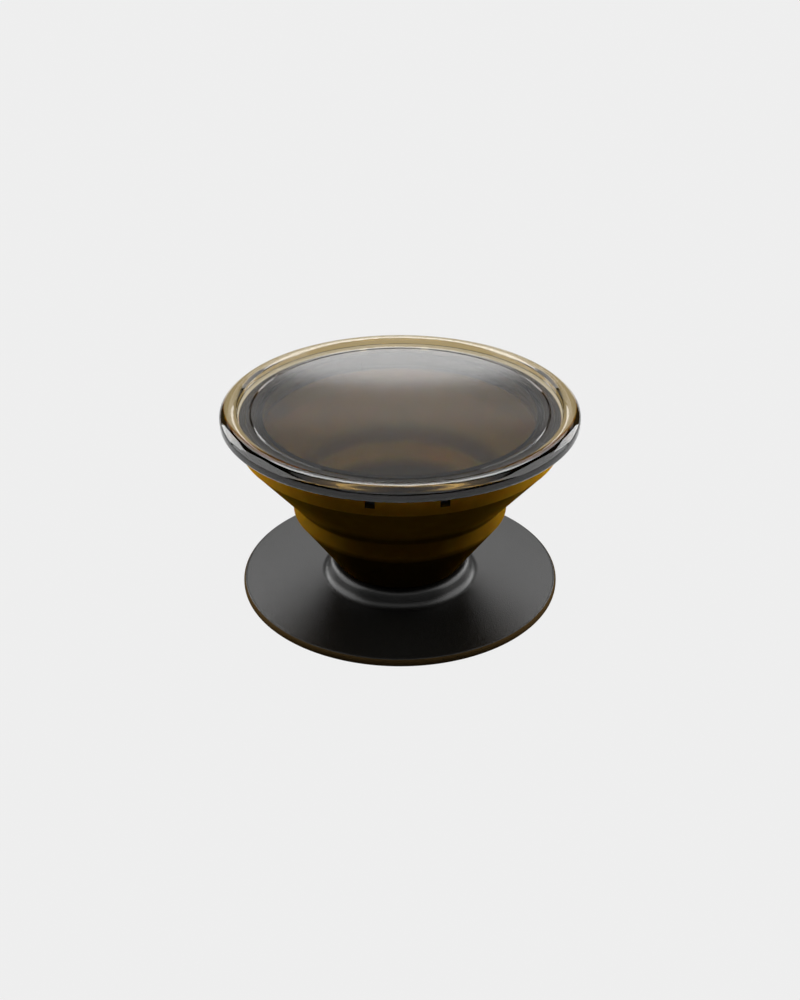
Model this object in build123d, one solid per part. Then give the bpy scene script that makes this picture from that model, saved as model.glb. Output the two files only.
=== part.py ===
"""Collapsible phone grip, shown pulled out: a see-through top on a flexible accordion and a stick-on base.

Millimetres. +Z is up along the grip's axis, and the origin is the centre of the adhesive's underside.
Azimuth is counted from +X towards +Y, so the grip's front, at -Y, is at -90 degrees.
"""
import os
from math import hypot

from build123d import *

# Clearances
RUN_GAP = 0.1  # between round pieces that turn in each other
SEAT_GAP = 0.05  # between pieces that are pressed together or turn face to face
CUT_OVER = 0.5  # how far a cutter runs past the wall that it cuts

# Adhesive pad
PAD_T = 0.5
PAD_MARGIN = 1.6  # bare edge of the base around the pad

# Base plate
BASE_R = 18.36
BASE_T = 1.0
BASE_TOP_ROUND = 0.45
BASE_BOTTOM_ROUND = 0.4

# Hub on the base plate
HUB_H = 1.89  # above the plate
HUB_RIM_W = 0.75  # width of the rim around the accordion's mouth
HUB_DRAFT = 0.35  # how much wider the hub is at its foot
HUB_ROUND = 0.75
HUB_FOOT_FILLET = 1.0
POCKET_D = 1.2  # depth of the pocket for the accordion's foot, from the plate's underside

# Accordion's neck and foot, in the hub
NECK_R = 6.85
NECK_WALL = 1.4
FOOT_REACH = 0.75  # how far the foot reaches out under the hub
FLARE_H = 0.45  # height over which the neck widens to the mouth

# Accordion's bellows, by its outer face
MOUTH_R = 7.28
CONE_LOW_H = 7.03
BAND_R = 12.22  # stiff middle band, at its lower edge
BAND_H = 1.43
CREASE_R = 11.92  # crease where the upper cone starts
CONE_TOP_H = 7.12
LIP_R = 17.87
LIP_H = 2.48
BELLOWS_WALL = 1.0
BAND_WALL = 1.25
LIP_WALL = 0.8
HINGE_ROUND = 0.35
LIP_EDGE_ROUND = 0.2

# Notches in the lip, one pair at the front and one at the back
NOTCH_MID = 2.5  # azimuth of the pair's middle, from the front
NOTCH_SPREAD = 27.9  # between the pair's outer sides
NOTCH_ARC = 3.3
NOTCH_D = 1.72

# Collar ring inside the lip
COLLAR_WALL = 0.6
LEDGE_T = 0.8
LEDGE_HOLD = 0.37  # how far the ledge reaches over the lugs

# Quarter-turn lock between the top and the collar
LUG_COUNT = 2
LUG_T = 0.8
LUG_ARC = 24
ENTRY_PLAY = 2  # spare arc on each side of a lug in its entry
STOP_ARC = 4
STOP_PLAY = 1  # arc between a lug and its stop
LOCK_TURN = 90

# Top: flat panel, small step up, and a rounded crown as the rim
CAP_R = 19.9
PANEL_T = 1.0
STEP_RISE = 0.45  # step, above the panel
STEP_LEAN = 0.05  # how far the step leans out
CROWN_RISE = 0.88  # crown's corner before it is rounded, above the panel
CROWN_RUN_IN = 0.95  # from that corner in to the step
CROWN_RUN_OUT = 0.95  # from that corner out to the edge
SHOULDER_RISE = 0.1  # crown's outer end, above the panel
STEP_FILLET = 0.1
STEP_ROUND = 0.12
CROWN_ROUND = 1.2
SHOULDER_ROUND = 0.6
RIM_BOTTOM_ROUND = 0.4
SKIRT_WALL = 0.65
RING_LINE_R = 16.53  # fine ring line in the panel
RING_LINE_W = 0.24
RING_LINE_D = 0.12

# Plug that holds the accordion's foot in the hub
FLANGE_T = 0.4
HEAD_T = 0.6
HEAD_REACH = 0.75  # how far the head reaches over the accordion's inner floor
HEAD_PLAY = 0.4  # between the head and the lower cone's wall
HEAD_ROUND = 0.35
PLUG_WALL = 1.2

# Heights, from the adhesive's underside up
Z_PLATE = PAD_T + BASE_T
Z_HUB = Z_PLATE + HUB_H
Z_BAND = Z_HUB + CONE_LOW_H
Z_CREASE = Z_BAND + BAND_H
Z_LIP = Z_CREASE + CONE_TOP_H
Z_LIP_TOP = Z_LIP + LIP_H
Z_CAP = Z_LIP_TOP + SEAT_GAP
Z_PANEL = Z_CAP + PANEL_T
Z_STEP = Z_PANEL + STEP_RISE
Z_CROWN = Z_PANEL + CROWN_RISE
Z_SHOULDER = Z_PANEL + SHOULDER_RISE

# Heights of the lock, from the lip's top down
Z_LEDGE = Z_LIP_TOP - LEDGE_T
Z_LUG_TOP = Z_LEDGE - SEAT_GAP
Z_LUG = Z_LUG_TOP - LUG_T
Z_SEAT = Z_LUG - RUN_GAP

# Radii of the lock, from the lip inwards
LIP_IN_R = LIP_R - LIP_WALL
COLLAR_R = LIP_IN_R - SEAT_GAP
TRACK_R = COLLAR_R - COLLAR_WALL
LUG_R = TRACK_R - RUN_GAP
LEDGE_R = LUG_R - LEDGE_HOLD
SKIRT_R = LEDGE_R - RUN_GAP
SKIRT_IN_R = SKIRT_R - SKIRT_WALL

# Radii of the top, from its edge inwards
CROWN_R = CAP_R - CROWN_RUN_OUT
STEP_R = CROWN_R - CROWN_RUN_IN
PANEL_R = STEP_R - STEP_LEAN

FULL_TURN = 360
FRONT = -90


class Cone:
    """Straight stretch of the bellows between two points of its outer face, with its wall inside."""

    def __init__(self, low_r, low_z, high_r, high_z):
        self.low_r, self.low_z = low_r, low_z
        self.slope = (high_r - low_r) / (high_z - low_z)
        self.level_wall = BELLOWS_WALL * hypot(1, self.slope)

    def inner_r(self, z):
        return self.low_r + (z - self.low_z) * self.slope - self.level_wall

    def inner_z(self, r):
        return self.low_z + (r + self.level_wall - self.low_r) / self.slope


LOWER_CONE = Cone(MOUTH_R, Z_HUB, BAND_R, Z_BAND)
UPPER_CONE = Cone(CREASE_R, Z_CREASE, LIP_R, Z_LIP)

# Radii in the hub
NECK_IN_R = NECK_R - NECK_WALL
FOOT_R = NECK_R + FOOT_REACH
BORE_R = NECK_R + RUN_GAP
POCKET_R = FOOT_R + RUN_GAP
HUB_MOUTH_R = MOUTH_R + RUN_GAP
HUB_R = HUB_MOUTH_R + HUB_RIM_W
STEM_R = NECK_IN_R - SEAT_GAP
HEAD_R = STEM_R + HEAD_REACH

# Heights in the hub
Z_POCKET = PAD_T + POCKET_D
Z_FLANGE = PAD_T + RUN_GAP
Z_FOOT = Z_FLANGE + FLANGE_T
Z_FOOT_TOP = Z_POCKET - RUN_GAP
Z_FLARE = Z_HUB - FLARE_H
Z_FLOOR = LOWER_CONE.inner_z(HEAD_R + HEAD_PLAY)
Z_HEAD = Z_FLOOR + HEAD_T


def turned(outline, start=0, arc=FULL_TURN):
    """Solid turned about Z from a closed outline of (radius, height) or (radius, height, corner rounding)."""
    places = [(point[0], point[1]) for point in outline]
    rounds = [point[2] if len(point) == 3 else 0 for point in outline]
    section = Plane.XZ * make_face(FilletPolyline(places, radius=rounds, close=True))
    return Rot(0, 0, start) * revolve(section, Axis.Z, revolution_arc=arc)


def sector(inner_r, outer_r, low, high, start, arc):
    """Part of a square-edged ring, from one azimuth on through an arc."""
    return turned([(inner_r, low), (outer_r, low), (outer_r, high), (inner_r, high)], start, arc)


def adhesive_pad():
    """Stick-on disc that closes the hub's pocket from below."""
    pad_r = BASE_R - PAD_MARGIN
    return turned([(0, 0), (pad_r, 0), (pad_r, PAD_T), (0, PAD_T)])


def base_plate():
    """Round plate with a rounded edge, and a hub with a flared bore and a pocket under it."""
    return turned(
        [
            (POCKET_R, PAD_T),
            (BASE_R, PAD_T, BASE_BOTTOM_ROUND),
            (BASE_R, Z_PLATE, BASE_TOP_ROUND),
            (HUB_R + HUB_DRAFT, Z_PLATE, HUB_FOOT_FILLET),
            (HUB_R, Z_HUB, HUB_ROUND),
            (HUB_MOUTH_R, Z_HUB),
            (BORE_R, Z_FLARE),
            (BORE_R, Z_POCKET),
            (POCKET_R, Z_POCKET),
        ]
    )


def hub_plug():
    """Flanged, hollow plug in the accordion's neck, with a head on the accordion's inner floor."""
    core_r = STEM_R - PLUG_WALL
    z_core = Z_HEAD - PLUG_WALL
    return turned(
        [
            (core_r, Z_FLANGE),
            (FOOT_R, Z_FLANGE),
            (FOOT_R, Z_FOOT),
            (STEM_R, Z_FOOT),
            (STEM_R, Z_FLOOR),
            (HEAD_R, Z_FLOOR),
            (HEAD_R, Z_HEAD, HEAD_ROUND),
            (0, Z_HEAD),
            (0, z_core),
            (core_r, z_core),
        ]
    )


def lip_notches():
    """Cutters for the lip's notches, which show the collar ring behind them."""
    inner_r, outer_r = LIP_IN_R - CUT_OVER, LIP_R + CUT_OVER
    low, high = Z_LIP_TOP - NOTCH_D, Z_LIP_TOP + CUT_OVER
    cutters = []
    for middle in (FRONT + NOTCH_MID, FRONT + NOTCH_MID + FULL_TURN / 2):
        for start in (middle - NOTCH_SPREAD / 2, middle + NOTCH_SPREAD / 2 - NOTCH_ARC):
            cutters.append(sector(inner_r, outer_r, low, high, start, NOTCH_ARC))
    return cutters


def accordion():
    """One-piece bellows: foot and neck, lower cone, stiff band, upper cone, and the lip with its seat."""
    band_in_r = BAND_R - BAND_WALL
    crease_in_r = CREASE_R - BAND_WALL
    body = turned(
        [
            (NECK_IN_R, Z_FOOT),
            (FOOT_R, Z_FOOT),
            (FOOT_R, Z_FOOT_TOP),
            (NECK_R, Z_FOOT_TOP),
            (NECK_R, Z_FLARE),
            (MOUTH_R, Z_HUB),
            (BAND_R, Z_BAND, HINGE_ROUND),
            (CREASE_R, Z_CREASE, HINGE_ROUND),
            (LIP_R, Z_LIP, HINGE_ROUND),
            (LIP_R, Z_LIP_TOP, LIP_EDGE_ROUND),
            (LIP_IN_R, Z_LIP_TOP),
            (LIP_IN_R, Z_SEAT),
            (SKIRT_IN_R, Z_SEAT),
            (SKIRT_IN_R, UPPER_CONE.inner_z(SKIRT_IN_R)),
            (crease_in_r, UPPER_CONE.inner_z(crease_in_r), HINGE_ROUND),
            (band_in_r, LOWER_CONE.inner_z(band_in_r), HINGE_ROUND),
            (LOWER_CONE.inner_r(Z_FLOOR), Z_FLOOR),
            (NECK_IN_R, Z_FLOOR),
        ]
    )
    return body - lip_notches()


def collar_ring():
    """Rigid ring in the lip: a ledge with entries for the lugs, and stops that end their quarter turn."""
    ring = sector(TRACK_R, COLLAR_R, Z_SEAT, Z_LIP_TOP, 0, FULL_TURN)
    root_r = COLLAR_R - COLLAR_WALL / 2
    pitch = FULL_TURN / LUG_COUNT
    half_entry = LUG_ARC / 2 + ENTRY_PLAY
    stop_gap = LUG_ARC / 2 + STOP_PLAY
    for number in range(LUG_COUNT):
        locked = number * pitch
        freed = locked + LOCK_TURN
        ring += sector(LEDGE_R, root_r, Z_LEDGE, Z_LIP_TOP, freed + half_entry, pitch - 2 * half_entry)
        for start in (locked - stop_gap - STOP_ARC, freed + stop_gap):
            ring += sector(LEDGE_R + SEAT_GAP, root_r, Z_SEAT, Z_LEDGE + LEDGE_T / 2, start, STOP_ARC)
    return ring


def top_cap():
    """Top with a flat panel, a fine ring line and a rounded rim, and the skirt and lugs of its lock."""
    body = turned(
        [
            (0, Z_CAP),
            (SKIRT_IN_R, Z_CAP),
            (SKIRT_IN_R, Z_LUG),
            (SKIRT_R, Z_LUG),
            (SKIRT_R, Z_CAP),
            (CAP_R, Z_CAP, RIM_BOTTOM_ROUND),
            (CAP_R, Z_SHOULDER, SHOULDER_ROUND),
            (CROWN_R, Z_CROWN, CROWN_ROUND),
            (STEP_R, Z_STEP, STEP_ROUND),
            (PANEL_R, Z_PANEL, STEP_FILLET),
            (RING_LINE_R + RING_LINE_W / 2, Z_PANEL),
            (RING_LINE_R, Z_PANEL - RING_LINE_D),
            (RING_LINE_R - RING_LINE_W / 2, Z_PANEL),
            (0, Z_PANEL),
        ]
    )
    for number in range(LUG_COUNT):
        start = number * FULL_TURN / LUG_COUNT - LUG_ARC / 2
        body += sector(SKIRT_IN_R, LUG_R, Z_LUG, Z_LUG_TOP, start, LUG_ARC)
    return body


PIECES = {
    "adhesive_pad": adhesive_pad,
    "base_plate": base_plate,
    "hub_plug": hub_plug,
    "accordion": accordion,
    "collar_ring": collar_ring,
    "top_cap": top_cap,
}

os.makedirs("parts", exist_ok=True)
for name, make in PIECES.items():
    export_step(make(), os.path.join("parts", name + ".step"))
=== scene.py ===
"""Looks of the collapsible phone grip: smoked see-through top, amber accordion and satin black base.

The frame is in metres, with +Z up along the grip's axis. Lengths below are in millimetres and angles in
degrees, unless a comment says otherwise. Azimuth is counted from +X towards +Y.
"""
from math import atan2, cos, hypot, pi, radians, sin, tan

import bmesh
import bpy
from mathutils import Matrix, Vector


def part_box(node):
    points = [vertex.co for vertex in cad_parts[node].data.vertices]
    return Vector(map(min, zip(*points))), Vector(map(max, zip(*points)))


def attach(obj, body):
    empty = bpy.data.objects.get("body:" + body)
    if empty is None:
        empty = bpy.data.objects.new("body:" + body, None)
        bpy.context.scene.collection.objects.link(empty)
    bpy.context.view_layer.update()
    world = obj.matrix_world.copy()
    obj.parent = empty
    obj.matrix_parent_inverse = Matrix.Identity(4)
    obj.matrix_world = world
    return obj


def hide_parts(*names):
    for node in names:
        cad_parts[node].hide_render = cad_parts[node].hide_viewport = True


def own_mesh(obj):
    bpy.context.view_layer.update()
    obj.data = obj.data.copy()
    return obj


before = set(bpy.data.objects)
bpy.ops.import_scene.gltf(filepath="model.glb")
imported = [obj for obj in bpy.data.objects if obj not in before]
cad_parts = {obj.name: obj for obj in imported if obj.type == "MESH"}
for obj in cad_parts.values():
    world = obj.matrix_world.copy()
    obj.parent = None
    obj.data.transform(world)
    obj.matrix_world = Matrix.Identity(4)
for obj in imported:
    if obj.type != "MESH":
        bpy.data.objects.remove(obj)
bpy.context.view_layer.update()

MM = 0.001  # metres
FULL_TURN = 360
FRONT = -90  # azimuth of the side that faces the camera


def extent(name):
    """Outer radius, lowest and highest point of a turned piece."""
    low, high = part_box(name)
    return high.x / MM, low.z / MM, high.z / MM


# Sizes that the frame gives
CAP_R, Z_LUG, _ = extent("top_cap")
LIP_R, Z_FOOT, Z_LIP_TOP = extent("accordion")
COLLAR_R, Z_SEAT, _ = extent("collar_ring")
BASE_R, Z_PAD_TOP, Z_HUB = extent("base_plate")
FOOT_R, Z_FLANGE, Z_HEAD = extent("hub_plug")
PAD_R = extent("adhesive_pad")[0]

# Clearances
RUN_GAP = 0.1
SEAT_GAP = 0.05
SEAM_LAP = 0.02  # overlap of the accordion's three lengths, so that light crosses the seams

# Base plate and hub
BASE_T = 1.0
BASE_TOP_ROUND = 0.45
BASE_BOTTOM_ROUND = 0.4
HUB_RIM_W = 0.75
HUB_DRAFT = 0.35
HUB_ROUND = 0.75
HUB_FOOT_FILLET = 1.0
POCKET_D = 1.2
PAD_ROUND = 0.1

# Accordion
NECK_R = 6.85
NECK_WALL = 1.4
FLARE_H = 0.45
MOUTH_R = 7.28
CONE_LOW_H = 7.03
BAND_R = 12.22
BAND_H = 1.43
CREASE_R = 11.92
CONE_TOP_H = 7.12
BELLOWS_WALL = 1.0
BAND_WALL = 1.25
LIP_WALL = 0.8
HINGE_ROUND = 0.35
LIP_EDGE_ROUND = 0.2

# Notches in the lip, one pair at the front and one at the back
NOTCH_PAIRS = 2
NOTCH_MID = 2.5  # azimuth of a pair's middle, from the front
NOTCH_SPREAD = 27.9  # between a pair's outer sides
NOTCH_ARC = 3.3
NOTCH_D = 1.72
CUT_OVER = 0.5  # how far a cutter runs past the wall that it cuts

# Collar and quarter-turn lock
COLLAR_WALL = 0.6
LEDGE_T = 0.8
LEDGE_HOLD = 0.37
LUG_COUNT = 2
LUG_T = 0.8
LUG_ARC = 24
ENTRY_PLAY = 2
STOP_ARC = 4
STOP_PLAY = 1
LOCK_TURN = 90

# Top: flat panel, small step up, and a rounded crown as the rim
PANEL_T = 1.0
STEP_RISE = 0.45
STEP_LEAN = 0.05
CROWN_RISE = 0.88
CROWN_RUN_IN = 0.95
CROWN_RUN_OUT = 0.95
SHOULDER_RISE = 0.1
STEP_FILLET = 0.1
STEP_ROUND = 0.12
CROWN_ROUND = 1.2
SHOULDER_ROUND = 0.6
RIM_BOTTOM_ROUND = 0.4
SKIRT_WALL = 0.65
RING_LINE_R = 16.53
RING_LINE_W = 0.24
RING_LINE_D = 0.12

# Plug
FLANGE_T = 0.4
HEAD_T = 0.6
HEAD_REACH = 0.75
HEAD_ROUND = 0.35
PLUG_WALL = 1.2

# Fineness of the turned pieces
STEPS_AROUND = 256
STEP_OF_ROUND = 11  # angle of a rounding between two points of an outline
FEWEST_STEPS = 3
SMOOTH_UP_TO = 32  # angle between faces that are shaded as one
SAME_POINT = 1e-7  # metres between points that are merged

# Heights and radii that follow
Z_PLATE = Z_PAD_TOP + BASE_T
Z_BAND = Z_HUB + CONE_LOW_H
Z_CREASE = Z_BAND + BAND_H
Z_LIP = Z_CREASE + CONE_TOP_H
Z_CAP = Z_LIP_TOP + SEAT_GAP
Z_PANEL = Z_CAP + PANEL_T
Z_STEP = Z_PANEL + STEP_RISE
Z_CROWN = Z_PANEL + CROWN_RISE
Z_SHOULDER = Z_PANEL + SHOULDER_RISE
Z_LEDGE = Z_LIP_TOP - LEDGE_T
Z_LUG_TOP = Z_LUG + LUG_T
Z_POCKET = Z_PAD_TOP + POCKET_D
Z_FOOT_TOP = Z_POCKET - RUN_GAP
Z_FLARE = Z_HUB - FLARE_H
Z_FLOOR = Z_HEAD - HEAD_T
NECK_IN_R = NECK_R - NECK_WALL
BORE_R = NECK_R + RUN_GAP
POCKET_R = FOOT_R + RUN_GAP
HUB_MOUTH_R = MOUTH_R + RUN_GAP
HUB_R = HUB_MOUTH_R + HUB_RIM_W
STEM_R = NECK_IN_R - SEAT_GAP
LIP_IN_R = LIP_R - LIP_WALL
TRACK_R = COLLAR_R - COLLAR_WALL
LUG_R = TRACK_R - RUN_GAP
LEDGE_R = LUG_R - LEDGE_HOLD
SKIRT_R = LEDGE_R - RUN_GAP
SKIRT_IN_R = SKIRT_R - SKIRT_WALL
CROWN_R = CAP_R - CROWN_RUN_OUT
STEP_R = CROWN_R - CROWN_RUN_IN
PANEL_R = STEP_R - STEP_LEAN


def node(tree, kind, inputs=None, **settings):
    """New node with its settings, and its inputs set to values or linked to sockets."""
    made = tree.nodes.new(kind)
    for name, value in settings.items():
        setattr(made, name, value)
    for name, value in (inputs or {}).items():
        if isinstance(value, bpy.types.NodeSocket):
            tree.links.new(value, made.inputs[name])
        else:
            made.inputs[name].default_value = value
    return made


def sums(tree, operation, *terms):
    """Output of a Math node on two terms or one."""
    return node(tree, "ShaderNodeMath", dict(enumerate(terms)), operation=operation).outputs[0]


def turn_place(tree, flat, angle):
    """Place of a point of the flat section, with radius as X and height as Y, turned to an angle about Z."""
    axes = node(tree, "ShaderNodeSeparateXYZ", {0: flat}).outputs
    east = sums(tree, "MULTIPLY", axes["X"], sums(tree, "COSINE", angle))
    north = sums(tree, "MULTIPLY", axes["X"], sums(tree, "SINE", angle))
    return node(tree, "ShaderNodeCombineXYZ", {"X": east, "Y": north, "Z": axes["Y"]}).outputs[0]


def moved(tree, geometry, position):
    """Geometry with its points moved to a position."""
    return node(tree, "GeometryNodeSetPosition", {0: geometry, "Position": position}).outputs[0]


def joined(tree, first, second):
    """Two geometries as one."""
    both = node(tree, "GeometryNodeJoinGeometry", {0: first})
    tree.links.new(second, both.inputs[0])
    return both.outputs[0]


def lathe_tree():
    """Turns a flat section about Z, through a full turn or a closed arc, and repeats it round the axis."""
    tree = bpy.data.node_groups.new("turned piece", "GeometryNodeTree")
    sockets = (
        ("Section", "INPUT", "NodeSocketGeometry"),
        ("Steps", "INPUT", "NodeSocketInt"),
        ("Start", "INPUT", "NodeSocketFloat"),
        ("Arc", "INPUT", "NodeSocketFloat"),
        ("Ends", "INPUT", "NodeSocketBool"),
        ("Copies", "INPUT", "NodeSocketInt"),
        ("Finish", "INPUT", "NodeSocketMaterial"),
        ("Piece", "OUTPUT", "NodeSocketGeometry"),
    )
    for name, side, kind in sockets:
        tree.interface.new_socket(name, in_out=side, socket_type=kind)
    given = node(tree, "NodeGroupInput").outputs
    section, start, arc = given["Section"], given["Start"], given["Arc"]
    stop = sums(tree, "ADD", start, arc)
    position = node(tree, "GeometryNodeInputPosition").outputs[0]

    grid_side = 1.0
    count = node(tree, "GeometryNodeAttributeDomainSize", {0: section}).outputs["Point Count"]
    grid = node(
        tree,
        "GeometryNodeMeshGrid",
        {
            "Size X": grid_side,
            "Size Y": grid_side,
            "Vertices X": sums(tree, "ADD", count, 1.0),
            "Vertices Y": sums(tree, "ADD", given["Steps"], 1.0),
        },
    ).outputs["Mesh"]
    square = node(tree, "ShaderNodeSeparateXYZ", {0: position}).outputs
    along, around = (sums(tree, "ADD", square[axis], grid_side / 2) for axis in "XY")
    column = sums(tree, "ROUND", sums(tree, "MULTIPLY", along, count))
    sampled = node(
        tree,
        "GeometryNodeSampleIndex",
        {"Geometry": section, "Value": position, "Index": sums(tree, "FLOORED_MODULO", column, count)},
        data_type="FLOAT_VECTOR",
    ).outputs[0]
    angle = sums(tree, "ADD", start, sums(tree, "MULTIPLY", arc, around))
    wall = moved(tree, grid, turn_place(tree, sampled, angle))

    first = moved(tree, section, turn_place(tree, position, start))
    last = moved(tree, section, turn_place(tree, position, stop))
    ends = node(
        tree,
        "GeometryNodeSwitch",
        {"Switch": given["Ends"], "True": joined(tree, first, last)},
        input_type="GEOMETRY",
    ).outputs[0]
    shell = joined(tree, wall, ends)
    merged = node(tree, "GeometryNodeMergeByDistance", {0: shell, "Distance": SAME_POINT}).outputs[0]
    faces = node(tree, "GeometryNodeInputMeshEdgeNeighbors").outputs[0]
    bare = node(
        tree, "FunctionNodeCompare", {2: faces, 3: 0}, data_type="INT", operation="EQUAL"
    ).outputs[0]
    clean = node(
        tree, "GeometryNodeDeleteGeometry", {0: merged, "Selection": bare}, domain="EDGE"
    ).outputs[0]

    spots = node(tree, "GeometryNodePoints", {"Count": given["Copies"]}).outputs[0]
    pitch = sums(tree, "DIVIDE", radians(FULL_TURN), given["Copies"])
    turn = sums(tree, "MULTIPLY", node(tree, "GeometryNodeInputIndex").outputs[0], pitch)
    spin = node(tree, "ShaderNodeCombineXYZ", {"Z": turn}).outputs[0]
    copies = node(
        tree, "GeometryNodeInstanceOnPoints", {"Points": spots, "Instance": clean, "Rotation": spin}
    ).outputs[0]
    real = node(tree, "GeometryNodeRealizeInstances", {0: copies}).outputs[0]
    done = node(tree, "GeometryNodeSetMaterial", {0: real, "Material": given["Finish"]}).outputs[0]
    node(tree, "NodeGroupOutput", {0: done})
    return tree


def rounded(outline):
    """Points of a closed outline of (radius, height) or (radius, height, corner rounding), in order."""
    points = []
    for number, corner in enumerate(outline):
        here = Vector(corner[:2])
        rounding = corner[2] if len(corner) == 3 else 0
        if not rounding:
            points.append(here)
            continue
        back = (Vector(outline[number - 1][:2]) - here).normalized()
        ahead = (Vector(outline[(number + 1) % len(outline)][:2]) - here).normalized()
        half = back.angle(ahead) / 2
        centre = here + (back + ahead).normalized() * rounding / sin(half)
        first = here + back * rounding / tan(half) - centre
        sweep = pi - 2 * half
        turn = sweep if first.y * back.x > first.x * back.y else -sweep
        steps = max(FEWEST_STEPS, round(sweep / radians(STEP_OF_ROUND)))
        heading = atan2(first.y, first.x)
        for step in range(steps + 1):
            angle = heading + turn * step / steps
            points.append(centre + rounding * Vector((cos(angle), sin(angle))))
    return points


def turned(name, outline, finish, start=0, arc=FULL_TURN, copies=1):
    """Mesh object turned from an outline, from one azimuth on through an arc."""
    flat = bpy.data.meshes.new(name + " section")
    points = [(point.x * MM, point.y * MM, 0.0) for point in rounded(outline)]
    flat.from_pydata(points, [], [range(len(points))])
    source = bpy.data.objects.new(name + " section", flat)
    bpy.context.scene.collection.objects.link(source)
    modifier = source.modifiers.new("turn", "NODES")
    modifier.node_group = LATHE
    values = {
        "Steps": max(FEWEST_STEPS, round(STEPS_AROUND * arc / FULL_TURN)),
        "Start": radians(start),
        "Arc": radians(arc),
        "Ends": arc < FULL_TURN,
        "Copies": copies,
        "Finish": finish,
    }
    for item in LATHE.interface.items_tree:
        if item.in_out == "INPUT" and item.name in values:
            modifier[item.identifier] = values[item.name]
    evaluated = source.evaluated_get(bpy.context.evaluated_depsgraph_get())
    mesh = bpy.data.meshes.new_from_object(evaluated)
    mesh.name = name
    bpy.data.objects.remove(source)
    bpy.data.meshes.remove(flat)
    piece = bpy.data.objects.new(name, mesh)
    bpy.context.scene.collection.objects.link(piece)
    face_out(mesh)
    return piece


def keep_values(mesh, name, domain, values):
    """Attribute of a mesh that its finish can read."""
    attribute = mesh.attributes.get(name) or mesh.attributes.new(name, "FLOAT", domain)
    attribute.data.foreach_set("value", values)


def face_out(mesh):
    """Merges doubles, turns the faces outwards, shades smooth up to an angle, and notes height and facing."""
    shape = bmesh.new()
    shape.from_mesh(mesh)
    bmesh.ops.remove_doubles(shape, verts=shape.verts, dist=SAME_POINT)
    bmesh.ops.recalc_face_normals(shape, faces=shape.faces)
    shape.to_mesh(mesh)
    shape.free()
    mesh.shade_smooth()
    mesh.set_sharp_from_angle(angle=radians(SMOOTH_UP_TO))
    keep_values(mesh, "height", "POINT", [vertex.co.z for vertex in mesh.vertices])
    # From 1 for a face that looks straight at the axis to -1 for one that looks straight away from it
    facing = [-face.center.xy.normalized().dot(face.normal.xy) for face in mesh.polygons]
    keep_values(mesh, "inward", "FACE", facing)


def combine(body, tool, operation):
    """Fuses a second solid with a piece, or cuts it away."""
    modifier = body.modifiers.new(operation, "BOOLEAN")
    modifier.operation = operation
    modifier.solver = "EXACT"
    modifier.object = tool
    evaluated = body.evaluated_get(bpy.context.evaluated_depsgraph_get())
    mesh = bpy.data.meshes.new_from_object(evaluated)
    body.modifiers.clear()
    old = body.data
    body.data = mesh
    bpy.data.meshes.remove(old)
    mesh.name = body.name
    bpy.data.objects.remove(tool)
    face_out(mesh)
    return body


def ring_outline(inner_r, outer_r, low, high):
    """Outline of a square-edged ring."""
    return [(inner_r, low), (outer_r, low), (outer_r, high), (inner_r, high)]


class Cone:
    """Straight stretch of the bellows between two points of its outer face, with its wall inside."""

    def __init__(self, low_r, low_z, high_r, high_z):
        self.low_r, self.low_z = low_r, low_z
        self.slope = (high_r - low_r) / (high_z - low_z)
        self.level_wall = BELLOWS_WALL * hypot(1, self.slope)

    def inner_r(self, z):
        return self.low_r + (z - self.low_z) * self.slope - self.level_wall

    def inner_z(self, r):
        return self.low_z + (r + self.level_wall - self.low_r) / self.slope


LOWER_CONE = Cone(MOUTH_R, Z_HUB, BAND_R, Z_BAND)
UPPER_CONE = Cone(CREASE_R, Z_CREASE, LIP_R, Z_LIP)


# Finishes

IOR = 1.5
NOISE_LOW, NOISE_HIGH = 0.3, 0.7  # most of a noise lies between them

# Smoked top
SMOKE_TINT = (0.55, 0.40, 0.0)
SMOKE_DENSITY = 800.0  # per metre
PANEL_ROUGHNESS = 0.075
RIM_ROUGHNESS = 0.06
SMOKE_GRAIN = 900.0  # features per metre, as for the grains and clouds below
SMOKE_GRAIN_SPREAD = (0.9, 1.1)  # on the roughness

# Amber accordion
AMBER_OUTSIDE = (0.27, 0.135, 0.008)
# Inside tone: the amber made paler by a painted sheen
AMBER_INSIDE_PAINTED_SHEEN = (0.45, 0.32, 0.08)
LEVEL_FACE_PAINTED_SHADE = (0.04, 0.03, 0.01)  # painted shade on faces that look up or down, such as the notch floors
AMBER_FACING = 0.5  # inward value beyond which, either way, a face looks in or out
AMBER_CLOUD = 500.0
AMBER_CLOUD_DEPTH = 0.15
AMBER_SHEEN = 1200.0
AMBER_ROUGHNESS = (0.26, 0.32)
AMBER_GRAIN = 3000.0
AMBER_GRAIN_HEIGHT = 3e-6  # metres, as all grain heights
AMBER_GLOW_RADIUS = (1.0, 0.5, 0.1)
AMBER_GLOW_REACH = 0.2

# Moulded plastics
SHINE = 0.5  # specular level
MOULD_GRAIN = 6000.0
MOULD_GRAIN_DETAIL = 3.0
MOULD_CLOUD = 700.0
MOULD_ROUGHNESS_SPREAD = 0.04
EDGE_FACING = -0.6  # inward value up to which a face is the base's edge


def new_finish(name):
    """Empty material and its output node."""
    finish = bpy.data.materials.new(name)
    finish.use_nodes = True
    tree = finish.node_tree
    tree.nodes.clear()
    return finish, tree, node(tree, "ShaderNodeOutputMaterial")


def noise(tree, scale, detail=2.0):
    """Noise on the piece's own coordinates, with its scale in features per metre."""
    position = node(tree, "ShaderNodeTexCoord").outputs["Object"]
    inputs = {"Vector": position, "Scale": scale, "Detail": detail}
    return node(tree, "ShaderNodeTexNoise", inputs).outputs["Fac"]


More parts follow.
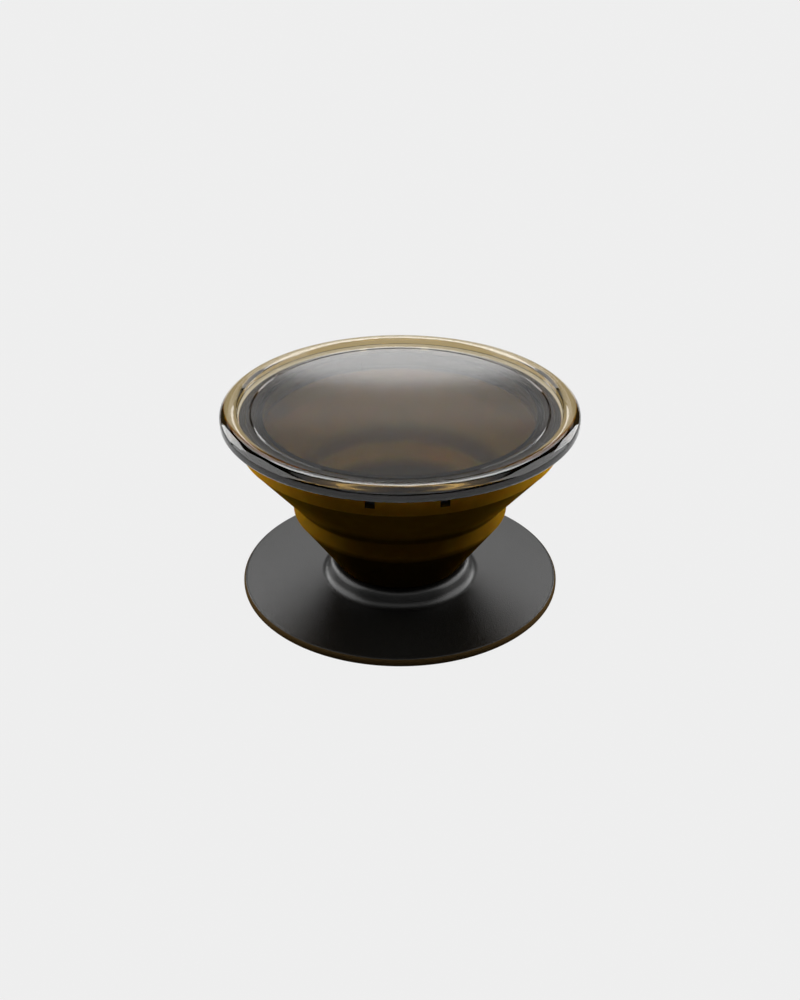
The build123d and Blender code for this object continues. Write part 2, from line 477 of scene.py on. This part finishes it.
def spread(tree, value, low, high):
    """A noise value stretched to a range."""
    inputs = {"Value": value, "From Min": NOISE_LOW, "From Max": NOISE_HIGH, "To Min": low, "To Max": high}
    return node(tree, "ShaderNodeMapRange", inputs).outputs["Result"]


def bump(tree, height, distance):
    """Normal of a surface with a fine relief."""
    inputs = {"Height": height, "Distance": distance, "Strength": 1.0}
    return node(tree, "ShaderNodeBump", inputs).outputs["Normal"]


def kept(tree, name):
    """Value that face_out keeps in the mesh: height in metres, or inward."""
    return node(tree, "ShaderNodeAttribute", attribute_name=name).outputs["Fac"]


def smoke_finish():
    """Smoked clear plastic of the top: polished rim, slightly softer panel."""
    finish, tree, out = new_finish("smoked clear plastic")
    position = node(tree, "ShaderNodeTexCoord").outputs["Object"]
    level = {0: position, 1: (1.0, 1.0, 0.0)}
    flat = node(tree, "ShaderNodeVectorMath", level, operation="MULTIPLY").outputs[0]
    reach = node(tree, "ShaderNodeVectorMath", {0: flat}, operation="LENGTH").outputs["Value"]
    polish = node(
        tree,
        "ShaderNodeMapRange",
        {
            "Value": reach,
            "From Min": PANEL_R * MM,
            "From Max": STEP_R * MM,
            "To Min": PANEL_ROUGHNESS,
            "To Max": RIM_ROUGHNESS,
        },
    ).outputs["Result"]
    grain = spread(tree, noise(tree, SMOKE_GRAIN), *SMOKE_GRAIN_SPREAD)
    surface = node(
        tree,
        "ShaderNodeBsdfPrincipled",
        {
            "Base Color": (1.0, 1.0, 1.0, 1.0),
            "Roughness": sums(tree, "MULTIPLY", polish, grain),
            "IOR": IOR,
            "Transmission Weight": 1.0,
        },
    )
    inside = node(
        tree, "ShaderNodeVolumeAbsorption", {"Color": (*SMOKE_TINT, 1.0), "Density": SMOKE_DENSITY}
    )
    tree.links.new(surface.outputs[0], out.inputs["Surface"])
    tree.links.new(inside.outputs[0], out.inputs["Volume"])
    return finish


def painted_shade_by_height(tree, colour, stops):
    """A colour with painted light and shade by height, darker or paler through stops of (height, level)."""
    low, high = stops[0][0], stops[-1][0]
    inputs = {"Value": kept(tree, "height"), "From Min": low * MM, "From Max": high * MM}
    share = node(tree, "ShaderNodeMapRange", inputs).outputs["Result"]
    ramp = node(tree, "ShaderNodeValToRGB", {"Fac": share})
    elements = ramp.color_ramp.elements
    for z, _ in stops[1:-1]:
        elements.new((z - low) / (high - low))
    for element, (_, level) in zip(elements, stops):
        element.color = (*(level * part for part in colour), 1.0)
    return ramp.outputs["Color"]


def mixed(tree, share, first, second):
    """Colour between two. The Mix node's colour sockets go by number, since their names aren't unique."""
    return node(tree, "ShaderNodeMix", {0: share, 6: first, 7: second}, data_type="RGBA").outputs[2]


def amber_finish():
    """Dark amber flexible plastic of the accordion, in which light spreads a short way, with painted light
    and shade by height and a painted sheen that makes the inside paler.
    """
    finish, tree, out = new_finish("amber flexible plastic")
    # Heights and levels between which the painted shade fades: dim at the hub, dark over the crease, full at
    # the lip
    z_dim = Z_BAND - 1.2
    z_shade, z_shade_end = Z_CREASE + 0.4, Z_CREASE + 1.1
    z_cone = Z_CREASE + 2.2
    # Outside: painted shade, darkest at the hub and over the crease, lightest on the lip
    outside = (
        (Z_HUB, 0.05),
        (z_dim, 0.08),
        (Z_BAND - 0.1, 0.42),
        (Z_CREASE, 0.4),
        (z_shade, 0.2),
        (z_shade_end, 0.2),
        (z_cone, 0.5),
        (Z_LIP - 0.1, 0.55),
        (Z_LIP, 1.0),
    )
    # Inside: painted shade at the bottom and over the crease, and a painted lit band
    inside = (
        (Z_HUB, 0.05),
        (z_dim, 0.1),
        (Z_BAND, 1.0),
        (Z_CREASE, 1.0),
        (z_shade, 0.2),
        (z_shade_end, 0.2),
        (z_cone, 0.62),
        (Z_LIP, 0.62),
    )
    inward = kept(tree, "inward")
    looks_in = sums(tree, "GREATER_THAN", inward, AMBER_FACING)
    is_level = sums(tree, "LESS_THAN", sums(tree, "ABSOLUTE", inward), AMBER_FACING)
    outer, inner = painted_shade_by_height(tree, AMBER_OUTSIDE, outside), painted_shade_by_height(tree, AMBER_INSIDE_PAINTED_SHEEN, inside)
    # Faces that look up or down, such as the notch floors, take the painted shade; the rest take the outside
    # or inside tone
    tone = mixed(tree, is_level, mixed(tree, looks_in, outer, inner), (*LEVEL_FACE_PAINTED_SHADE, 1.0))
    cloud = spread(tree, noise(tree, AMBER_CLOUD), 0.0, AMBER_CLOUD_DEPTH)
    surface = node(
        tree,
        "ShaderNodeBsdfPrincipled",
        {
            "Base Color": mixed(tree, cloud, tone, (0.0, 0.0, 0.0, 1.0)),
            "Roughness": spread(tree, noise(tree, AMBER_SHEEN), *AMBER_ROUGHNESS),
            "IOR": IOR,
            "Specular IOR Level": 0.0,
            "Subsurface Weight": 1.0,
            "Subsurface Radius": AMBER_GLOW_RADIUS,
            "Subsurface Scale": AMBER_GLOW_REACH * MM,
            "Normal": bump(tree, noise(tree, AMBER_GRAIN), AMBER_GRAIN_HEIGHT),
        },
    )
    tree.links.new(surface.outputs[0], out.inputs["Surface"])
    return finish


def moulded_finish(name, colour, lighter, roughness, grain_height, edge=None):
    """Opaque moulded plastic with a fine grain, and for the base a painted glow of light through its thin
    smoked edge, in the smoke's brown, with the shine taken off there.
    """
    finish, tree, out = new_finish(name)
    grain = noise(tree, MOULD_GRAIN, MOULD_GRAIN_DETAIL)
    tone = mixed(tree, noise(tree, MOULD_CLOUD), (*colour, 1.0), (*lighter, 1.0))
    shine = SHINE
    if edge:
        # Painted glow of light through the base's thin smoked edge: a brown colour and no shine on the lower
        # edge
        below = sums(tree, "LESS_THAN", kept(tree, "height"), Z_PLATE * MM)
        share = sums(tree, "MULTIPLY", below, sums(tree, "LESS_THAN", kept(tree, "inward"), EDGE_FACING))
        tone = mixed(tree, share, tone, (*edge, 1.0))
        shine = sums(tree, "MULTIPLY", sums(tree, "SUBTRACT", 1.0, share), SHINE)
    surface = node(
        tree,
        "ShaderNodeBsdfPrincipled",
        {
            "Base Color": tone,
            "Roughness": spread(
                tree, grain, roughness - MOULD_ROUGHNESS_SPREAD, roughness + MOULD_ROUGHNESS_SPREAD
            ),
            "IOR": IOR,
            "Specular IOR Level": shine,
            "Normal": bump(tree, grain, grain_height),
        },
    )
    tree.links.new(surface.outputs[0], out.inputs["Surface"])
    return finish


LATHE = lathe_tree()
SMOKE = smoke_finish()
AMBER = amber_finish()
BASE_BLACK = moulded_finish(
    "satin black plastic",
    colour=(0.0008, 0.0007, 0.0004),
    lighter=(0.0012, 0.0010, 0.0006),
    roughness=0.36,
    grain_height=2e-5,
    # brown painted glow of light through the thin smoked edge
    edge=(0.036, 0.022, 0.008),
)
COLLAR_BLACK = moulded_finish(
    "collar plastic",
    colour=(0.010, 0.009, 0.008),
    lighter=(0.014, 0.012, 0.010),
    roughness=0.35,
    grain_height=3e-6,
)
PLUG_BLACK = moulded_finish(
    "plug plastic",
    colour=(0.012, 0.011, 0.010),
    lighter=(0.016, 0.014, 0.012),
    roughness=0.4,
    grain_height=3e-6,
)
ADHESIVE = moulded_finish(
    "grey adhesive",
    colour=(0.20, 0.20, 0.20),
    lighter=(0.26, 0.26, 0.25),
    roughness=0.55,
    grain_height=8e-6,
)


# Pieces

def place(piece, body, slot, *nodes):
    """Puts a piece on its body, in place of the frame's own solids."""
    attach(piece, body)
    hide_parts(*nodes)
    return piece


def adhesive_pad():
    """Stick-on disc under the base."""
    return turned(
        "adhesive_pad_look",
        [(0, 0), (PAD_R, 0, PAD_ROUND), (PAD_R, Z_PAD_TOP, PAD_ROUND), (0, Z_PAD_TOP)],
        ADHESIVE,
    )


def base_plate():
    """Round plate with a rounded edge, and a hub with a flared bore and a pocket under it."""
    return turned(
        "base_plate_look",
        [
            (POCKET_R, Z_PAD_TOP),
            (BASE_R, Z_PAD_TOP, BASE_BOTTOM_ROUND),
            (BASE_R, Z_PLATE, BASE_TOP_ROUND),
            (HUB_R + HUB_DRAFT, Z_PLATE, HUB_FOOT_FILLET),
            (HUB_R, Z_HUB, HUB_ROUND),
            (HUB_MOUTH_R, Z_HUB),
            (BORE_R, Z_FLARE),
            (BORE_R, Z_POCKET),
            (POCKET_R, Z_POCKET),
        ],
        BASE_BLACK,
    )


def hub_plug():
    """Flanged, hollow plug in the accordion's neck, with a head on the accordion's inner floor."""
    core_r = STEM_R - PLUG_WALL
    head_r = STEM_R + HEAD_REACH
    z_core = Z_HEAD - PLUG_WALL
    z_step = Z_FLANGE + FLANGE_T
    return turned(
        "hub_plug_look",
        [
            (core_r, Z_FLANGE),
            (FOOT_R, Z_FLANGE),
            (FOOT_R, z_step),
            (STEM_R, z_step),
            (STEM_R, Z_FLOOR),
            (head_r, Z_FLOOR),
            (head_r, Z_HEAD, HEAD_ROUND),
            (0, Z_HEAD),
            (0, z_core),
            (core_r, z_core),
        ],
        PLUG_BLACK,
    )


def accordion_foot():
    """Foot and neck, which stay in the hub."""
    seam = Z_HUB + SEAM_LAP
    return turned(
        "accordion_foot_look",
        [
            (NECK_IN_R, Z_FOOT),
            (FOOT_R, Z_FOOT),
            (FOOT_R, Z_FOOT_TOP),
            (NECK_R, Z_FOOT_TOP),
            (NECK_R, Z_FLARE),
            (MOUTH_R, Z_HUB),
            (MOUTH_R, seam),
            (NECK_IN_R, seam),
        ],
        AMBER,
    )


def accordion_bellows():
    """Both cones with the stiff band between them, built open; on the grip they fold flat together."""
    band_in_r = BAND_R - BAND_WALL
    crease_in_r = CREASE_R - BAND_WALL
    return turned(
        "accordion_bellows_look",
        [
            (NECK_IN_R, Z_HUB),
            (MOUTH_R, Z_HUB),
            (BAND_R, Z_BAND, HINGE_ROUND),
            (CREASE_R, Z_CREASE, HINGE_ROUND),
            (LIP_R, Z_LIP),
            (SKIRT_IN_R, Z_LIP),
            (SKIRT_IN_R, UPPER_CONE.inner_z(SKIRT_IN_R)),
            (crease_in_r, UPPER_CONE.inner_z(crease_in_r), HINGE_ROUND),
            (band_in_r, LOWER_CONE.inner_z(band_in_r), HINGE_ROUND),
            (LOWER_CONE.inner_r(Z_FLOOR), Z_FLOOR),
            (NECK_IN_R, Z_FLOOR),
        ],
        AMBER,
    )


def lip_notches():
    """Cutter for the lip's notches, which show the collar ring behind them."""
    outline = ring_outline(LIP_IN_R - CUT_OVER, LIP_R + CUT_OVER, Z_LIP_TOP - NOTCH_D, Z_LIP_TOP + CUT_OVER)
    first = NOTCH_MID - NOTCH_SPREAD / 2 + FRONT
    last = NOTCH_MID + NOTCH_SPREAD / 2 - NOTCH_ARC + FRONT
    left, right = (turned("notch", outline, AMBER, start, NOTCH_ARC, NOTCH_PAIRS) for start in (first, last))
    return combine(left, right, "UNION")


def accordion_lip():
    """Lip with the seat for the collar, and the notches in it."""
    seam = Z_LIP - SEAM_LAP
    lip = turned(
        "accordion_lip_look",
        [
            (SKIRT_IN_R, seam),
            (LIP_R, seam),
            (LIP_R, Z_LIP_TOP, LIP_EDGE_ROUND),
            (LIP_IN_R, Z_LIP_TOP),
            (LIP_IN_R, Z_SEAT),
            (SKIRT_IN_R, Z_SEAT),
        ],
        AMBER,
    )
    return combine(lip, lip_notches(), "DIFFERENCE")


def collar_ring():
    """Ring with a ledge all round, open at the entries, and with stops under the ledge."""
    ring = turned(
        "collar_ring_look",
        [
            (TRACK_R, Z_SEAT),
            (COLLAR_R, Z_SEAT),
            (COLLAR_R, Z_LIP_TOP),
            (LEDGE_R, Z_LIP_TOP),
            (LEDGE_R, Z_LEDGE),
            (TRACK_R, Z_LEDGE),
        ],
        COLLAR_BLACK,
    )
    half_entry = LUG_ARC / 2 + ENTRY_PLAY
    entry = ring_outline(LEDGE_R - CUT_OVER, TRACK_R, Z_LEDGE - CUT_OVER, Z_LIP_TOP + CUT_OVER)
    entries = turned("entries", entry, COLLAR_BLACK, LOCK_TURN - half_entry, 2 * half_entry, LUG_COUNT)
    combine(ring, entries, "DIFFERENCE")
    stop_gap = LUG_ARC / 2 + STOP_PLAY
    root_r = COLLAR_R - COLLAR_WALL / 2
    stop = ring_outline(LEDGE_R + SEAT_GAP, root_r, Z_SEAT + SEAM_LAP, Z_LEDGE + LEDGE_T / 2)
    for start in (-stop_gap - STOP_ARC, LOCK_TURN + stop_gap):
        combine(ring, turned("stops", stop, COLLAR_BLACK, start, STOP_ARC, LUG_COUNT), "UNION")
    return ring


def top_cap():
    """Top with a flat panel, a fine ring line and a rounded rim, and the skirt and lugs of its lock."""
    cap = turned(
        "top_cap_look",
        [
            (0, Z_CAP),
            (SKIRT_IN_R, Z_CAP),
            (SKIRT_IN_R, Z_LUG),
            (SKIRT_R, Z_LUG),
            (SKIRT_R, Z_CAP),
            (CAP_R, Z_CAP, RIM_BOTTOM_ROUND),
            (CAP_R, Z_SHOULDER, SHOULDER_ROUND),
            (CROWN_R, Z_CROWN, CROWN_ROUND),
            (STEP_R, Z_STEP, STEP_ROUND),
            (PANEL_R, Z_PANEL, STEP_FILLET),
            (RING_LINE_R + RING_LINE_W / 2, Z_PANEL),
            (RING_LINE_R, Z_PANEL - RING_LINE_D),
            (RING_LINE_R - RING_LINE_W / 2, Z_PANEL),
            (0, Z_PANEL),
        ],
        SMOKE,
    )
    lug = ring_outline(SKIRT_IN_R, LUG_R, Z_LUG, Z_LUG_TOP)
    return combine(cap, turned("lugs", lug, SMOKE, -LUG_ARC / 2, LUG_ARC, LUG_COUNT), "UNION")


place(adhesive_pad(), "base", "adhesive_grey", "adhesive_pad")
place(base_plate(), "base", "base_black", "base_plate")
place(hub_plug(), "core", "plug_black", "hub_plug")
place(accordion_foot(), "core", "amber_flex", "accordion")
bellows = place(accordion_bellows(), "core", "amber_flex", "accordion")
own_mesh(bellows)
place(accordion_lip(), "collar", "amber_flex", "accordion")
place(collar_ring(), "collar", "collar_black", "collar_ring")
place(top_cap(), "cap", "smoke_clear", "top_cap")


# Stage

BACKGROUND = 0.863  # linear grey of the pale background
FLOOR_SIZE = 6000
FLOOR_PAINT = 0.01  # grey that takes light and shadow
FLOOR_SHADOW = 0.1  # its share of the floor's look
FLOOR_GLOW = 0.95  # brightness of the other share
WORLD_LIGHT = 0.005
WORLD_THROUGH = 0.1  # the world as seen through the clear top


def pale_floor():
    """Floor that shows an even pale grey, with a share of the lamps' light and shadow."""
    finish, tree, out = new_finish("pale floor")
    paint = node(tree, "ShaderNodeBsdfDiffuse", {"Color": (FLOOR_PAINT, FLOOR_PAINT, FLOOR_PAINT, 1.0)})
    glow = node(tree, "ShaderNodeEmission", {"Color": (1.0, 1.0, 1.0, 1.0), "Strength": FLOOR_GLOW})
    path = node(tree, "ShaderNodeLightPath").outputs
    seen = sums(tree, "MAXIMUM", path["Is Camera Ray"], path["Is Transmission Ray"])
    seen = sums(tree, "MAXIMUM", seen, path["Is Glossy Ray"])
    share = sums(tree, "MULTIPLY", seen, 1 - FLOOR_SHADOW)
    both = node(tree, "ShaderNodeMixShader", {0: share, 1: paint.outputs[0], 2: glow.outputs[0]})
    tree.links.new(both.outputs[0], out.inputs["Surface"])
    half = FLOOR_SIZE * MM / 2
    mesh = bpy.data.meshes.new("floor")
    corners = [(-half, -half, 0), (half, -half, 0), (half, half, 0), (-half, half, 0)]
    mesh.from_pydata(corners, [], [range(len(corners))])
    mesh.materials.append(finish)
    floor = bpy.data.objects.new("floor", mesh)
    bpy.context.scene.collection.objects.link(floor)


def studio_world():
    """Pale background for the camera, a dim one through the clear top, and hardly any light."""
    world = bpy.data.worlds.new("studio")
    world.use_nodes = True
    tree = world.node_tree
    tree.nodes.clear()
    path = node(tree, "ShaderNodeLightPath").outputs
    through = sums(tree, "MULTIPLY", path["Is Transmission Ray"], WORLD_THROUGH)
    seen = sums(tree, "MAXIMUM", sums(tree, "MULTIPLY", path["Is Camera Ray"], BACKGROUND), through)
    level = sums(tree, "MAXIMUM", seen, WORLD_LIGHT)
    light = node(tree, "ShaderNodeBackground", {"Color": (1, 1, 1, 1), "Strength": level})
    node(tree, "ShaderNodeOutputWorld", {"Surface": light.outputs[0]})
    bpy.context.scene.world = world


# Softboxes, each by shape, azimuth from straight behind, elevation, width, height in degrees, and brightness
LAMP_DISTANCE = 1200
LAMPS = {
    "top": ("RECTANGLE", 180, 72, 36, 40, 5.0),
    "inside": ("RECTANGLE", 180, 40, 50, 14, 24.0),
    "back_top": ("RECTANGLE", 0, 53, 40, 18, 8.0),
    "back_high": ("RECTANGLE", 0, 38, 46, 12, 2.2),
    "back_low": ("ELLIPSE", 0, 21.5, 20, 6, 3.5),
    "back_haze": ("ELLIPSE", 0, 25.5, 30, 2, 0.5),
    "back_mid": ("RECTANGLE", 0, 28.0, 100, 5, 0.5),
    "back_left": ("RECTANGLE", -50, 17, 18, 30, 5.5),
    "back_right": ("RECTANGLE", 50, 17, 18, 30, 5.5),
    "edge_left": ("RECTANGLE", -60, 8, 30, 36, 26.0),
    "edge_right": ("RECTANGLE", 60, 8, 30, 36, 26.0),
    "side_left": ("RECTANGLE", -86, 22, 50, 54, 2.6),
    "side_right": ("RECTANGLE", 86, 22, 50, 54, 2.6),
    "front_top": ("RECTANGLE", 180, 64, 80, 88, 0.7),
    "front_fill": ("RECTANGLE", 180, 15, 60, 30, 0.42),
}
LIGHT_ONLY = ("top", "inside", "edge_left", "edge_right", "front_fill")  # show on nothing shiny
SHINE_ONLY = ("inside", "side_left", "side_right", "front_top")  # light nothing dull from outside
SHOWN_THROUGH = ("inside",)  # lights the inside through the top


def softbox(name, shape, azimuth, elevation, width, height, brightness):
    """Area lamp that faces the grip's top and covers that many degrees as seen from it."""
    lamp = bpy.data.lights.new(name, "AREA")
    lamp.shape = shape
    lamp.size = 2 * LAMP_DISTANCE * MM * tan(radians(width / 2))
    lamp.size_y = 2 * LAMP_DISTANCE * MM * tan(radians(height / 2))
    area = lamp.size * lamp.size_y * (pi / 4 if shape == "ELLIPSE" else 1)
    lamp.energy = brightness * pi * area
    away = Vector(
        (
            sin(radians(azimuth)) * cos(radians(elevation)),
            cos(radians(azimuth)) * cos(radians(elevation)),
            sin(radians(elevation)),
        )
    )
    holder = bpy.data.objects.new(name, lamp)
    holder.location = Vector((0, 0, Z_PANEL * MM)) + away * LAMP_DISTANCE * MM
    holder.rotation_mode = "QUATERNION"
    holder.rotation_quaternion = away.to_track_quat("Z", "Y")
    holder.visible_camera = False
    holder.visible_transmission = name in SHOWN_THROUGH
    holder.visible_glossy = name not in LIGHT_ONLY
    holder.visible_diffuse = name not in SHINE_ONLY
    bpy.context.scene.collection.objects.link(holder)


# Camera, by its place and its tilt down
CAMERA_Y = -135.4
CAMERA_Z = 87.584
CAMERA_TILT = 29.585
CAMERA_LENS = 48.767
CAMERA_NEAREST = 10
SENSOR = 36.0


def photo_camera():
    """Camera at the photograph's viewing angle."""
    camera = bpy.data.cameras.new("camera")
    camera.lens = CAMERA_LENS
    camera.sensor_width = SENSOR
    camera.clip_start = CAMERA_NEAREST * MM
    holder = bpy.data.objects.new("camera", camera)
    holder.location = (0, CAMERA_Y * MM, CAMERA_Z * MM)
    holder.rotation_euler = (radians(90 - CAMERA_TILT), 0, 0)
    bpy.context.scene.collection.objects.link(holder)
    bpy.context.scene.camera = holder


pale_floor()
studio_world()
for lamp_name, facts in LAMPS.items():
    softbox(lamp_name, *facts)
photo_camera()
bpy.context.scene.view_settings.view_transform = "Standard"
